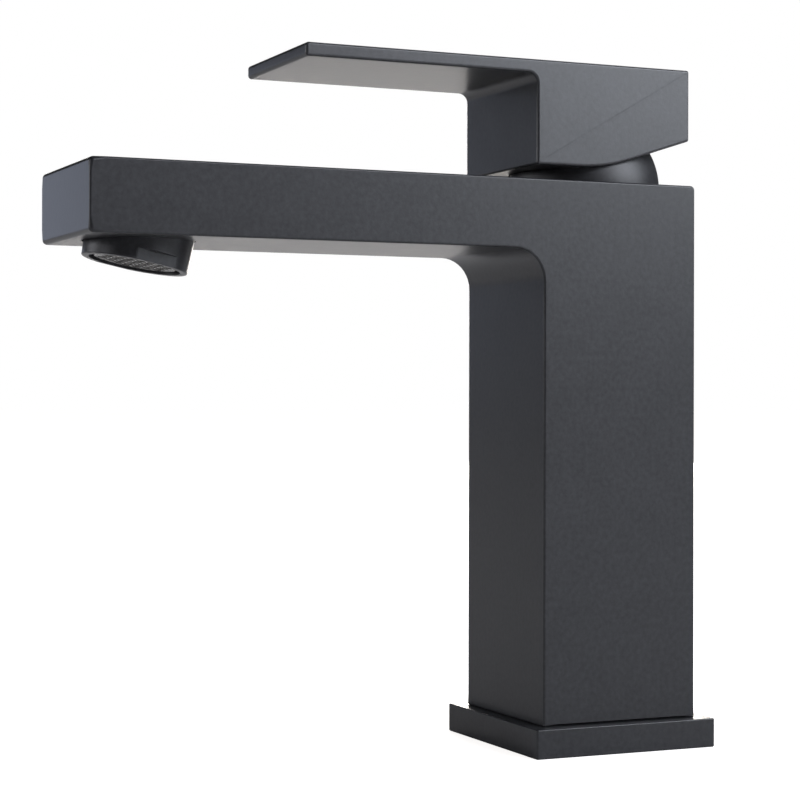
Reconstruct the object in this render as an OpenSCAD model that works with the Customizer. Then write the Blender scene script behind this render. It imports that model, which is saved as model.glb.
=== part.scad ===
// Single-lever basin mixer: a square column with a square spout, a flat lever over a domed cover,
// a 35 mm ceramic cartridge and a tilted aerator. Origin at the middle of the deck face, under the
// column. Z is up, the spout points towards -Y, and X runs across the tap. All sizes in millimetres.

/* [Body] */
// Wall of the column outside the cartridge
column_wall = 3.75; // [3.4:0.05:7]
// Height of the top of the body above the deck
body_top = 140.4; // [112:0.1:200]
// Distance from the column's axis to the end of the spout
spout_end = 134.7; // [105:0.1:180]
// Thickness of the spout from top to underside
spout_t = 17; // [16:0.1:24]
// Radius in the corner between the column and the spout
spout_fillet = 8; // [3:0.5:9]
// Radius on the outer edges at the spout's end and the column's back
edge_r = 1.1; // [0.4:0.1:2]
// Wall of the hollow lower column
shell_wall = 3; // [2:0.1:3.4]
// Wall around the water channel in the spout
channel_wall = 3.5; // [2.5:0.1:4]

/* [Deck plate] */
// Height of the deck plate
plate_h = 7.2; // [5:0.1:12]
// How far the deck plate stands out past the column on each side
plate_step = 3.75; // [2:0.05:12]
// Thickness of the gasket under the deck plate
gasket_t = 2.8; // [1.5:0.1:3.5]
// Width of the deck plate's rim around the gasket
plate_rim = 3; // [2:0.1:5]

/* [Cartridge] */
// Diameter of the cartridge
cartridge_d = 35; // [34:0.5:44]
// Distance of the cartridge's axis behind the middle of the column
cartridge_y = 1; // [0:0.1:1.5]
// Thickness of each ceramic disc
disc_t = 4; // [3:0.1:5]
// Length of the lever from the pivot pin to the middle of its lower ball
arm_l = 14; // [11.5:0.1:17]
// Radius of the lever's lower ball
ball_r = 3.9; // [3.4:0.1:4.2]
// Side of the lever's square shank
shank_w = 8; // [6.5:0.1:8.6]
// Radius of the pivot pin
pin_r = 2; // [1.5:0.05:2.2]

/* [Handle] */
// Distance that the handle stands in from the column on each side
handle_inset = 1.25; // [1:0.05:1.6]
// Height of the handle's top above the body
handle_rise = 29.1; // [27:0.1:36]
// Gap between the handle and the top of the body
handle_gap = 3.6; // [3.2:0.1:4.4]
// Thickness of the lever plate
lever_t = 3.3; // [2.5:0.1:5]
// Distance from the column's axis to the tip of the lever
lever_end = 83; // [60:0.5:110]
// How far the handle's block stands out in front of the column
block_over = 1.35; // [0:0.05:4]
// Distance that the handle's back stands in from the column's back
back_inset = 0.95; // [0:0.05:1.2]
// Slope of the handle's underside at the back, in degrees
under_slope = 18; // [14:0.5:20]
// Lift of the lever from shut to fully open, in degrees
lift = 25; // [20:1:26]
// Turn of the lever to each side, in degrees
turn = 50; // [30:1:55]

/* [Aerator] */
// Wall between the aerator's seat and the end of the spout
tip_wall = 4.55; // [4:0.05:12]
// Outer diameter of the aerator's collar
aerator_d = 25.6; // [21:0.1:31]
// Length of the aerator below the spout, along its axis
aerator_drop = 5.6; // [4.6:0.1:9]
// Tilt of the aerator away from the column, in degrees
aerator_tilt = 11; // [0:1:15]
// Depth of each of the two wrench flats on the aerator's collar
flat_depth = 1.3; // [0.8:0.1:1.6]
// Turn of the wrench flats about the aerator's axis, in degrees
flats_turn = 8; // [0:1:60]

/* [Connections] */
// Radius of the tapped hole of each hose port
port_r = 4.5; // [4:0.05:4.8]
// Depth of the thread in each hose port
port_l = 12; // [8:0.5:16]
// Radius of the tapped hole for the fixing stud
stud_r = 3.4; // [2.5:0.05:4]
// Depth of the thread for the fixing stud
stud_l = 14; // [8:0.5:18]

/* [Hidden] */
$fn = 64;

// clearances
slip = 0.1;         // between turned faces that move or unscrew
play = 0.2;         // beside the sliding carrier
film = 0.05;        // the water film between the discs, and between pieces that just fit
bore_gap = 0.15;    // between the cartridge and its chamber
dome_gap = 0.3;     // between the handle's hollow and the dome

// plan sizes
cart_r = cartridge_d / 2;
chamber_r = cart_r + bore_gap;
nut_r = cart_r + 0.4;
nut_bore_r = nut_r + slip;
column_w = 2 * (cart_r + column_wall);
half = column_w / 2;
plate_w = column_w + 2 * plate_step;
handle_w = column_w - 2 * handle_inset;
spout_under = body_top - spout_t;

// the cartridge from the pivot down
pivot_z = body_top;
swing = lift / 2;
disc_travel = 2 * arm_l * sin(swing);
socket_floor = pivot_z - arm_l - ball_r - 1;
carrier_z = socket_floor - 7.45;
carrier_plate_t = 4.15;
block_top = socket_floor + 6.7;
moving_z = carrier_z - disc_t;
fixed_z = moving_z - film - disc_t;
disc_seal_t = 1;
base_plate_t = 5;
floor_z = fixed_z - disc_seal_t - base_plate_t;
base_lip = 1.5;
floor_t = 12;

// radii inside the cartridge
inner_r = cart_r - 2.3;
flange_r = inner_r - play;
fixed_r = inner_r - 1.2;
travel_half = disc_travel / 2;
plate_r = inner_r - travel_half - 0.17;
moving_r = plate_r - 0.5;
block_x = ball_r + 4.1;
block_y = sqrt(pow(inner_r - 0.75, 2) - block_x * block_x) - travel_half;
carrier_peg_x = moving_r - 3;
carrier_peg_r = 1.2;
slot_half = arm_l * sin(swing) + ball_r;
neck_bore_r = cart_r - 5.5;
neck_r = neck_bore_r + 2.2;
rotor_r = neck_bore_r - slip;

// the turning stop: half the width of the rotor's lug, and where the housing's stops begin
stop_half = 10;
stop_end = turn + stop_half + 1;

// heights inside the cartridge
flange_bottom = carrier_z + carrier_plate_t + play;
recess_top = block_top + 0.4;
flange_top = recess_top + 3.2;
shoulder_in = flange_top + slip;
shoulder_t = 2.5;
shoulder_top = shoulder_in + shoulder_t;
neck_top = pivot_z + 6.5;
rotor_top = pivot_z + 7.6;
washer_t = 0.5;

// lever
shank_l = 24;
barrel_r = 5.2;
barrel_w = shank_w + 1;
boss_r = shank_w / 2 * sqrt(2) + 1.85;
block_front = half + block_over;
block_back = half - back_inset;
boss_start = 11;
screw_at = 15;
screw_r = 2.05;
screw_l = 5;
cap_r = 4;
handle_top = body_top + handle_rise;
handle_bottom = body_top + handle_gap;
under_r = 44;
under_rise = 7.7;

// dome and nut
dome_r = cart_r + 1.8;
dome_wall = 1.6;
dome_in_r = dome_r - dome_wall;
dome_open_r = dome_r * sin(asin((shank_w / 2 + screw_l) / dome_in_r) + swing + 3);
collar_r = cart_r - 0.5;
collar_top = pivot_z + sqrt(dome_in_r * dome_in_r - collar_r * collar_r) - 0.2;
cavity_r = dome_r + dome_gap;

// aerator, along its own axis from the spout's underside
aerator_r = aerator_d / 2;
mouth_r = aerator_r + 0.35;
reach = spout_end - tip_wall - mouth_r;
thread_top = 9;
thread_r = aerator_r - 0.85;
thread_in = 3.6;
boss_top = 1.2;
flats_h = 3.3;
lip_h = 2.4;
insert_r = thread_r - 1.75;
nose_r = insert_r - 0.6;
seal_h = 1.2;

// water ways
seat_x = port_r + 2.5;
seat_y = -5.5;
way_r = 2.8;
seal_r = 4.4;
seal_t = 2;
disc_port = [5.2, -3.6];
disc_port_r = 2.2;
outlet_y = 4.5;
outlet_r = 3.2;
gallery_w = 4.4;
gallery_h = 8;
riser_w = 14;
riser_y = cartridge_y - chamber_r - 2.2;
base_peg_x = cart_r - 6;
base_peg_y = 7;
base_peg_r = 1.5;
channel_bottom = spout_under + channel_wall;
channel_top = body_top - 3.2;
channel_start = riser_y - 8.5;
channel_end = reach + aerator_r - 1.8;

// foot of the body
spigot_r = cart_r - 1.5;
spigot_z = gasket_t + 0.2;
foot_top = plate_h + 19;
stud_y = 9;

black = "#2c2e33";

module round_edge(r) {
    difference() {
        translate([-1, -1]) square(r + 1);
        translate([r, r]) circle(r);
    }
}

module across(width) {
    rotate([90, 0, 90]) linear_extrude(width, center = true) children();
}

module at_cartridge(z = 0) {
    translate([0, cartridge_y, z]) children();
}

module at_pivot(angle = 0) {
    translate([0, cartridge_y, pivot_z]) rotate([angle, 0, 0]) children();
}

module at_aerator() {
    translate([0, -reach, spout_under]) rotate([-aerator_tilt, 0, 0]) children();
}

// ---- body -------------------------------------------------------------------------------------

module side_outline() {
    difference() {
        union() {
            translate([-half, plate_h]) square([column_w, body_top - plate_h]);
            translate([-spout_end, spout_under]) square([spout_end - half + 1, spout_t]);
            difference() {
                translate([-half - spout_fillet, spout_under - spout_fillet]) square(spout_fillet + 1);
                translate([-half - spout_fillet, spout_under - spout_fillet]) circle(spout_fillet);
            }
        }
        translate([-spout_end, spout_under]) round_edge(edge_r);
        translate([-spout_end, body_top]) mirror([0, 1]) round_edge(edge_r);
        translate([half, body_top]) rotate(180) round_edge(edge_r);
    }
}

module plan_outline(width, front, back, r) {
    difference() {
        translate([-width / 2, -front]) square([width, front + back]);
        for (side = [0, 1]) mirror([side, 0]) {
            translate([-width / 2, -front]) round_edge(r);
            translate([-width / 2, back]) mirror([0, 1]) round_edge(r);
        }
    }
}

module body_form() {
    intersection() {
        across(column_w) side_outline();
        linear_extrude(body_top + 1) plan_outline(column_w, spout_end, half, edge_r);
    }
}

module aerator_boss() {
    intersection() {
        body_form();
        at_aerator() translate([0, 0, -4]) cylinder(r = mouth_r + 1.6, h = 4 + thread_top + boss_top);
    }
}

module foot() {
    translate([0, 0, spigot_z]) cylinder(r = spigot_r, h = foot_top - spigot_z);
    for (turned = [0, 90]) rotate(turned)
        translate([-half + 1, -2, plate_h]) cube([column_w - 2, 4, foot_top - plate_h]);
    for (side = [-1, 1]) at_cartridge(foot_top - 1)
        translate([side * seat_x, seat_y, 0]) cylinder(r = way_r + 2.6, h = floor_z - floor_t - foot_top + 2);
}

module water_ways() {
    for (side = [-1, 1]) at_cartridge() translate([side * seat_x, seat_y, 0]) {
        translate([0, 0, spigot_z - 1]) cylinder(r = port_r, h = port_l + 1);
        translate([0, 0, spigot_z + 1]) cylinder(r = way_r, h = floor_z - spigot_z);
    }
    translate([0, stud_y, spigot_z - 1]) cylinder(r = stud_r, h = stud_l + 1);
    translate([-gallery_w / 2, riser_y, floor_z - gallery_h])
        cube([gallery_w, cartridge_y + outlet_y + outlet_r - riser_y, gallery_h + 1]);
    translate([-riser_w / 2, riser_y, floor_z - gallery_h])
        cube([riser_w, 4, spout_under - 3 - floor_z + gallery_h + 1]);
    across(riser_w + 2) polygon([
        [riser_y + 4, spout_under - 3], [riser_y, spout_under - 3],
        [channel_start, channel_bottom], [channel_start - 3.5, channel_bottom],
        [channel_start - 3.5, channel_top], [riser_y - 1.7, channel_top], [riser_y - 1.7, channel_top - 4.5],
        [riser_y + 3.2, shoulder_in - 4.4]]);
}

module body() {
    color(black) difference() {
        union() {
            difference() {
                body_form();
                translate([-half + shell_wall, -half + shell_wall, 0])
                    cube([column_w - 2 * shell_wall, column_w - 2 * shell_wall, floor_z - floor_t]);
                translate([-half + channel_wall, -channel_end, channel_bottom])
                    cube([column_w - 2 * channel_wall, channel_end + channel_start,
                          channel_top - channel_bottom]);
            }
            foot();
            aerator_boss();
        }
        water_ways();
        at_cartridge(floor_z) cylinder(r = chamber_r, h = body_top - floor_z + 1);
        at_cartridge(shoulder_top) cylinder(r = nut_bore_r, h = body_top - shoulder_top + 1);
        for (side = [-1, 1]) at_cartridge(floor_z - 3)
            translate([side * base_peg_x, base_peg_y, 0]) cylinder(r = base_peg_r + slip, h = 4);
        at_aerator() {
            translate([0, 0, -aerator_drop]) cylinder(r = mouth_r, h = aerator_drop + thread_in);
            translate([0, 0, thread_in - 1]) cylinder(r = thread_r, h = thread_top - thread_in + 1);
            translate([0, 0, thread_top - 1]) cylinder(r = thread_r - 2, h = boss_top + 1.5);
        }
    }
}

module deck_plate() {
    color(black) difference() {
        linear_extrude(plate_h) plan_outline(plate_w, plate_w / 2, plate_w / 2, 0.4);
        translate([0, 0, -1]) cylinder(r = spigot_r + bore_gap, h = plate_h + 2);
        translate([0, 0, -1]) linear_extrude(gasket_t + 1)
            square(plate_w - 2 * plate_rim, center = true);
    }
}

module deck_gasket() {
    color("#3a3a3a") linear_extrude(gasket_t) difference() {
        square(plate_w - 2 * plate_rim - 2 * slip, center = true);
        circle(spigot_r + 0.6);
    }
}

// ---- cartridge --------------------------------------------------------------------------------

module cartridge_base() {
    color("#d9d9d2") at_cartridge(floor_z) difference() {
        union() {
            cylinder(r = cart_r - slip, h = base_lip);
            cylinder(r = inner_r - slip, h = base_plate_t + disc_seal_t + 2);
            for (side = [-1, 1])
                translate([side * base_peg_x, base_peg_y, -2.5]) cylinder(r = base_peg_r, h = 3);
        }
        translate([0, 0, base_plate_t]) cylinder(r = fixed_r + slip, h = 10);
        for (side = [-1, 1]) {
            translate([side * seat_x, seat_y, -1]) cylinder(r = way_r, h = 3.5);
            translate([side * seat_x, seat_y, -1]) cylinder(r = seal_r + slip, h = seal_t + 1);
            translate([side * disc_port[0], disc_port[1], seal_t]) cylinder(r = disc_port_r, h = 5);
        }
        translate([-gallery_w / 2, outlet_y - outlet_r, -1])
            cube([gallery_w, 2 * outlet_r, base_plate_t + 2]);
    }
}

module inlet_seals() {
    color("#202020") at_cartridge(floor_z) for (side = [-1, 1])
        translate([side * seat_x, seat_y, 0]) difference() {
            cylinder(r = seal_r, h = seal_t);
            translate([0, 0, -1]) cylinder(r = way_r, h = seal_t + 2);
        }
}

module disc_ports(h) {
    for (side = [-1, 1])
        translate([side * disc_port[0], disc_port[1], -1]) cylinder(r = disc_port_r, h = h + 2);
    translate([0, outlet_y, -1]) cylinder(r = outlet_r, h = h + 2);
}

module disc_seal() {
    color("#202020") at_cartridge(floor_z + base_plate_t) difference() {
        cylinder(r = fixed_r, h = disc_seal_t);
        disc_ports(disc_seal_t);
    }
}

module fixed_disc() {
    color("#f2f0ea") at_cartridge(fixed_z) difference() {
        cylinder(r = fixed_r, h = disc_t);
        disc_ports(disc_t);
    }
}

module moving_disc() {
    color("#e6e9ee") at_cartridge(moving_z) translate([0, travel_half, 0]) difference() {
        cylinder(r = moving_r, h = disc_t);
        translate([-6.5, -4, -1]) cube([13, 10, disc_t / 2 + 1]);
        for (side = [-1, 1])
            translate([side * carrier_peg_x, 0, disc_t - 1.5]) cylinder(r = carrier_peg_r + slip, h = 2);
    }
}

module disc_carrier() {
    color("#3f6fae") at_cartridge(carrier_z) translate([0, travel_half, 0]) difference() {
        union() {
            cylinder(r = plate_r, h = carrier_plate_t);
            translate([-block_x, -block_y, 0]) cube([2 * block_x, 2 * block_y, block_top - carrier_z]);
            for (side = [-1, 1])
                translate([side * carrier_peg_x, 0, -1.4]) cylinder(r = carrier_peg_r, h = 2);
        }
        translate([0, 0, socket_floor - carrier_z]) cylinder(r = ball_r + 0.25, h = 20);
    }
}

module rotor() {
    color("#c9ccd1") at_cartridge() difference() {
        union() {
            translate([0, 0, flange_bottom]) cylinder(r = flange_r, h = flange_top - flange_bottom);
            translate([0, 0, flange_top - 1]) cylinder(r = rotor_r, h = rotor_top - flange_top + 1);
            intersection() {
                translate([0, 0, neck_top + slip]) cylinder(r = neck_r, h = rotor_top - neck_top - slip);
                rotate(90 - stop_half) wedge(2 * stop_half, neck_r + 1, rotor_top);
            }
        }
        translate([-block_x - play, -cart_r, flange_bottom - 1])
            cube([2 * (block_x + play), 2 * cart_r, recess_top - flange_bottom + 1]);
        translate([-barrel_w / 2 - play, -slot_half, flange_bottom])
            cube([barrel_w + 2 * play, 2 * slot_half, rotor_top]);
        translate([-cart_r, 0, pivot_z]) rotate([0, 90, 0]) cylinder(r = pin_r + 0.03, h = 2 * cart_r);
        translate([0, 0, pivot_z + 2.9]) difference() {
            cylinder(r = rotor_r + 1, h = 1.6);
            translate([0, 0, -1]) cylinder(r = rotor_r - 1.2, h = 4);
        }
    }
}

module wedge(angle, r, h) {
    rotate_extrude(angle = angle) square([r, h]);
}

module ring(r, section) {
    rotate_extrude() translate([r, 0]) circle(section);
}

module rotor_ring() {
    color("#1c1c1c") at_cartridge(pivot_z + 3.7) ring(rotor_r - 0.55, 0.6);
}

module pivot_pin() {
    color("#c0c4c8") at_cartridge(pivot_z) rotate([0, 90, 0])
        cylinder(r = pin_r, h = 2 * rotor_r - 1, center = true);
}

module lever_spindle() {
    color("#b8a36a") at_pivot(swing) difference() {
        union() {
            rotate([0, 90, 0]) cylinder(r = barrel_r, h = barrel_w, center = true);
            translate([-shank_w / 2, -shank_w / 2, 0]) cube([shank_w, shank_w, shank_l]);
            translate([0, 0, -arm_l]) cylinder(r = ball_r - 0.7, h = arm_l);
            translate([0, 0, -arm_l]) sphere(ball_r);
        }
        rotate([0, 90, 0]) cylinder(r = pin_r + 0.06, h = barrel_w + 2, center = true);
    }
}

module cartridge_housing() {
    color("#e9e6dc") at_cartridge() difference() {
        union() {
            translate([0, 0, floor_z + base_lip + slip])
                cylinder(r = cart_r, h = shoulder_top - floor_z - base_lip - slip);
            translate([0, 0, shoulder_top - 1]) cylinder(r = neck_r, h = neck_top - shoulder_top + 1);
            intersection() {
                translate([0, 0, neck_top - 1]) cylinder(r = neck_r, h = 2);
                rotate(90 + stop_end) wedge(360 - 2 * stop_end, neck_r + 1, rotor_top);
            }
        }
        translate([0, 0, floor_z]) cylinder(r = inner_r, h = shoulder_in - floor_z);
        translate([0, 0, floor_z]) cylinder(r = neck_bore_r, h = rotor_top);
        translate([0, 0, shoulder_in - 3.1]) difference() {
            cylinder(r = cart_r + 1, h = 1.6);
            translate([0, 0, -1]) cylinder(r = cart_r - 1.3, h = 4);
        }
    }
}

module housing_ring() {
    color("#1c1c1c") at_cartridge(shoulder_in - 2.3) ring(cart_r - 0.58, 0.7);
}

module slip_washer() {
    color("#e8e8e8") at_cartridge(shoulder_top) difference() {
        cylinder(r = cart_r, h = washer_t);
        translate([0, 0, -1]) cylinder(r = neck_r + 0.3, h = washer_t + 2);
    }
}

module retaining_nut() {
    nut_z = shoulder_top + washer_t;
    color("#c8a95a") at_cartridge(nut_z) difference() {
        union() {
            cylinder(r = nut_r, h = body_top - nut_z - 0.5);
            cylinder(r = collar_r, h = collar_top - nut_z);
        }
        translate([0, 0, -1]) cylinder(r = neck_r + 0.3, h = collar_top - nut_z + 2);
        for (turned = [45 : 90 : 315]) rotate(turned)
            translate([collar_r - 3, -2, collar_top - nut_z - 2.5]) cube([4, 4, 4]);
    }
}

module dome_cover() {
    color(black) at_pivot() difference() {
        intersection() {
            sphere(dome_r);
            translate([0, 0, film]) cylinder(r = dome_r + 1, h = dome_r);
        }
        intersection() {
            sphere(dome_in_r);
            translate([0, 0, -1]) cylinder(r = collar_r + film, h = dome_r);
        }
        translate([0, 0, film - 1]) cylinder(r = collar_r + film, h = 2);
        cylinder(r = dome_open_r, h = dome_r + 1);
    }
}

// ---- handle -----------------------------------------------------------------------------------

// Where the flat underside and the sloped one would meet, and the ends of the arc that joins them.
meet_y = block_back - under_rise / tan(under_slope);
tangent = under_r * tan(under_slope / 2);

module handle_outline() {
    back_z = handle_bottom + (block_back - meet_y) * tan(under_slope);
    arc = [for (i = [0 : 10]) let (a = under_slope * i / 10)
        [meet_y - tangent + under_r * sin(a), handle_bottom + under_r * (1 - cos(a))]];
    difference() {
        union() {
            polygon(concat([[-block_front, handle_top], [-block_front, handle_bottom]], arc,
                           [[block_back, back_z], [block_back, handle_top]]));
            translate([-lever_end, handle_top - lever_t]) square([lever_end, lever_t]);
            translate([-block_front - 2.5, handle_top - lever_t - 2.5]) difference() {
                square(3.5);
                circle(2.5);
            }
        }
        translate([block_back, handle_top]) rotate(180) round_edge(0.6);
        translate([-lever_end, handle_top]) mirror([0, 1]) round_edge(0.8);
        translate([-lever_end, handle_top - lever_t]) round_edge(0.8);
    }
}

module handle_form() {
    intersection() {
        across(handle_w) handle_outline();
        translate([0, 0, body_top]) linear_extrude(handle_rise + 1)
            plan_outline(handle_w, lever_end, block_back, 0.6);
    }
}

module along_screw() {
    at_pivot(swing) translate([0, 0, screw_at]) rotate([-90, 0, 0]) children();
}

module handle() {
    color(black) difference() {
        handle_form();
        difference() {
            at_pivot() sphere(cavity_r);
            at_pivot(swing) translate([0, 0, boss_start]) cylinder(r = boss_r, h = 30);
        }
        at_pivot(swing) translate([-shank_w / 2 - film, -shank_w / 2 - film, 1])
            cube([shank_w + 2 * film, shank_w + 2 * film, shank_l - 0.8]);
        along_screw() {
            cylinder(r = screw_r + film, h = boss_r + 1);
            translate([0, 0, boss_r + 1]) cylinder(r = 3, h = 40);
            translate([0, 0, cap_start()]) cylinder(r = cap_r + film, h = 40);
        }
    }
}

// Distance along the screw's line from the lever's axis to the floor of the cap's recess
function cap_start() = (block_back - cartridge_y + screw_at * sin(swing)) / cos(swing) - 3.6;

module set_screw() {
    color("#4a4a4a") along_screw() translate([0, 0, shank_w / 2]) difference() {
        cylinder(r = screw_r, h = screw_l);
        translate([0, 0, screw_l - 2]) cylinder(d = 2.9, h = 3, $fn = 6);
    }
}

module screw_cap() {
    color("#8c2f2f") intersection() {
        along_screw() {
            translate([0, 0, cap_start() + film]) cylinder(r = cap_r, h = 20);
            translate([0, 0, cap_start() - 3]) cylinder(r = 2.9, h = 4);
        }
        translate([-20, 0, body_top]) cube([40, block_back + 0.3, 40]);
    }
}

// ---- aerator ----------------------------------------------------------------------------------

module aerator_housing() {
    top = thread_top - seal_h;
    color(black) at_aerator() difference() {
        union() {
            translate([0, 0, -aerator_drop])
                cylinder(r1 = aerator_r - 0.3, r2 = aerator_r, h = aerator_drop + thread_in - slip);
            cylinder(r = thread_r - slip, h = top);
        }
        translate([0, 0, -aerator_drop + lip_h]) cylinder(r = insert_r + slip, h = 20);
        translate([0, 0, -aerator_drop - 1]) cylinder(r = nose_r + 0.15, h = 10);
        translate([0, 0, -aerator_drop - 1]) cylinder(r = insert_r + 0.6, h = lip_h);
        translate([0, 0, -aerator_drop - 1]) rotate(flats_turn)
            for (side = [-1, 1]) translate([side * aerator_r - (side > 0 ? flat_depth : 3), -aerator_r, 0])
                cube([flat_depth + 3, aerator_d, flats_h + 1]);
    }
}

module aerator_seal() {
    color("#1c1c1c") at_aerator() translate([0, 0, thread_top - seal_h]) difference() {
        cylinder(r = thread_r - slip, h = seal_h);
        translate([0, 0, -1]) cylinder(r = thread_r - 2, h = seal_h + 2);
    }
}

insert_top = -aerator_drop + 7;

// Rings of six-sided cells around a middle one
module cells(rings, pitch, size, h) {
    for (u = [-rings : rings], v = [-rings : rings])
        if (abs(u + v) <= rings)
            translate([pitch * (u + v / 2), pitch * v * sqrt(3) / 2, 0])
                rotate(30) cylinder(r = size, h = h, $fn = 6);
}

module aerator_insert() {
    color("#9a9a96") at_aerator() difference() {
        union() {
            translate([0, 0, -aerator_drop + 0.5]) cylinder(r = nose_r, h = 3);
            translate([0, 0, -aerator_drop + lip_h])
                cylinder(r = insert_r, h = insert_top + aerator_drop - lip_h);
        }
        translate([0, 0, -aerator_drop]) cells(3, nose_r * 0.27, nose_r * 0.13, 20);
    }
}

module aerator_diffuser() {
    color("#b9bcc0") at_aerator() translate([0, 0, insert_top]) difference() {
        cylinder(r = insert_r, h = 1.8);
        for (turned = [0 : 30 : 330]) rotate(turned)
            translate([insert_r - 3.6, 0, -1]) cylinder(r = 0.8, h = 4, $fn = 6);
    }
}

module aerator_screen() {
    base = insert_top + 1.8;
    rise = thread_top - seal_h - base;
    color("#8f9498") at_aerator() translate([0, 0, base]) difference() {
        union() {
            cylinder(r = insert_r, h = 0.8);
            cylinder(r1 = insert_r - 2, r2 = insert_r - 4, h = rise);
        }
        translate([0, 0, -0.8]) cylinder(r1 = insert_r - 2.6, r2 = insert_r - 4.6, h = rise);
        for (turned = [0 : 45 : 135]) rotate(turned)
            translate([3.2 - insert_r, -0.4, rise - 2]) cube([2 * (insert_r - 3.2), 0.8, 3]);
    }
}

body();
deck_plate();
deck_gasket();
cartridge_base();
inlet_seals();
disc_seal();
fixed_disc();
moving_disc();
disc_carrier();
rotor();
rotor_ring();
pivot_pin();
lever_spindle();
cartridge_housing();
housing_ring();
slip_washer();
retaining_nut();
dome_cover();
handle();
set_screw();
screw_cap();
aerator_housing();
aerator_seal();
aerator_screen();
aerator_diffuser();
aerator_insert();
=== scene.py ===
"""Looks of a square single-lever basin mixer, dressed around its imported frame.

The tap is black all over: a column with a square spout on a deck plate, a flat lever over a domed
cover, and a tilted aerator. Lengths are in metres, Z is up and the spout points along -Y.
"""
import logging
import math
from dataclasses import dataclass, field
from enum import Enum
from typing import Sequence

import bmesh
import bpy
import numpy as np
from mathutils import Matrix, Vector


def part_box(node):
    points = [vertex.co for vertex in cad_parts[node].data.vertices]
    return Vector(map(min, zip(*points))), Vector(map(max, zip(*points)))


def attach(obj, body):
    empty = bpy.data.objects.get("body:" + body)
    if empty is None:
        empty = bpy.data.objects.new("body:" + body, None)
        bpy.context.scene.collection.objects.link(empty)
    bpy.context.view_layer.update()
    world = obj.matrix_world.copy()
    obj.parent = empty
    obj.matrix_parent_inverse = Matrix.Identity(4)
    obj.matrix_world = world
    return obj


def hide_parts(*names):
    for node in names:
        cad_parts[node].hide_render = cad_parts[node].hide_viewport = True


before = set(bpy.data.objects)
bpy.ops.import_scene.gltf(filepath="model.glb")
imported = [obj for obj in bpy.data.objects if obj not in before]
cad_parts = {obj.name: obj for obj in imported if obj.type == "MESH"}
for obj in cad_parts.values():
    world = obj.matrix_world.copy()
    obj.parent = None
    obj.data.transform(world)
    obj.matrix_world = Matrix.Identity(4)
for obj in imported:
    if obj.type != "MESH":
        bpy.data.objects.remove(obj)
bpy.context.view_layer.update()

LOG = logging.getLogger("basin_mixer")
MM = 0.001
CAP_PLAY = 0.05 * MM


class Axis(Enum):
    """The direction that a turned piece's own Z axis takes."""

    UP = "up"
    AERATOR = "aerator"
    SHANK = "shank"
    SCREW = "screw"


# ---- surfaces -----------------------------------------------------------------------------------


@dataclass(frozen=True)
class Corner:
    """A corner of a flat outline.

    Args:
        u: First coordinate of the sharp corner.
        v: Second coordinate of the sharp corner.
        radius: Radius of the arc that rounds the corner, seen face on.
        rounding: Radius of the outline's edge at this corner, where the side face begins.
    """

    u: float
    v: float
    radius: float = 0.0
    rounding: float = 0.0


@dataclass(frozen=True)
class Outline:
    """A closed outline of straight stretches and tangent arcs, run counter-clockwise.

    Args:
        corners: The corners in order.
        rounding: Edge radius along the straight stretches.
        blend: Distance from an arc over which the edge radius changes to the corner's own.
    """

    corners: tuple[Corner, ...]
    rounding: float
    blend: float = 2.5 * MM

    def sample(self, steps: int = 10) -> tuple[np.ndarray, np.ndarray]:
        """Works out the outline's points.

        An arc of radius r starts r * tan(turn / 2) before its corner and ends as far after it. Its
        points are centre + r * (cos a, sin a), for a spread evenly over the turn.

        Args:
            steps: Number of chords in each arc.

        Returns:
            The points, shape (N, 2), and the edge radius at each point, shape (N,).
        """
        place = np.array([[c.u, c.v] for c in self.corners])
        before = place - np.roll(place, 1, axis=0)
        length = np.linalg.norm(before, axis=1)
        before /= length[:, None]
        after = np.roll(before, -1, axis=0)
        cross = before[:, 0] * after[:, 1] - before[:, 1] * after[:, 0]
        turns = np.arctan2(cross, np.sum(before * after, axis=1))
        reach = np.array([c.radius for c in self.corners]) * np.tan(np.abs(turns) / 2)
        free = length - reach - np.roll(reach, 1)
        lead = np.minimum(self.blend, free / 3)
        tail = np.roll(lead, -1)
        points = []
        radii = []
        for k, corner in enumerate(self.corners):
            side = np.array([-before[k][1], before[k][0]]) * math.copysign(1, turns[k])
            centre = place[k] - before[k] * reach[k] + side * corner.radius
            swept = math.atan2(-side[1], -side[0]) + turns[k] * np.linspace(0, 1, steps + 1)
            bend = centre + corner.radius * np.stack([np.cos(swept), np.sin(swept)], axis=1)
            bend = bend if corner.radius > 0 else place[k][None, :]
            points += [(place[k] - before[k] * (reach[k] + lead[k]))[None, :], bend,
                       (place[k] + after[k] * (reach[k] + tail[k]))[None, :]]
            own = np.full(len(bend), corner.rounding or self.rounding)
            radii += [[self.rounding], own, [self.rounding]]
        return np.concatenate(points), np.concatenate(radii)


def inset(points: np.ndarray, distance: np.ndarray) -> np.ndarray:
    """Moves a counter-clockwise outline inwards.

    Each point moves along the mean of its two edges' inward normals, by distance / cos(half turn), so
    that straight edges stay parallel to themselves.

    Args:
        points: Outline, shape (N, 2).
        distance: How far each point's edges move, shape (N,).

    Returns:
        The moved outline, shape (N, 2).
    """
    edge = np.roll(points, -1, axis=0) - points
    edge /= np.linalg.norm(edge, axis=1)[:, None]
    normal = np.stack([-edge[:, 1], edge[:, 0]], axis=1)
    mean = normal + np.roll(normal, 1, axis=0)
    mean /= np.linalg.norm(mean, axis=1)[:, None]
    lean = np.sum(mean * normal, axis=1)
    return points + mean * (distance / lean)[:, None]


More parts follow.
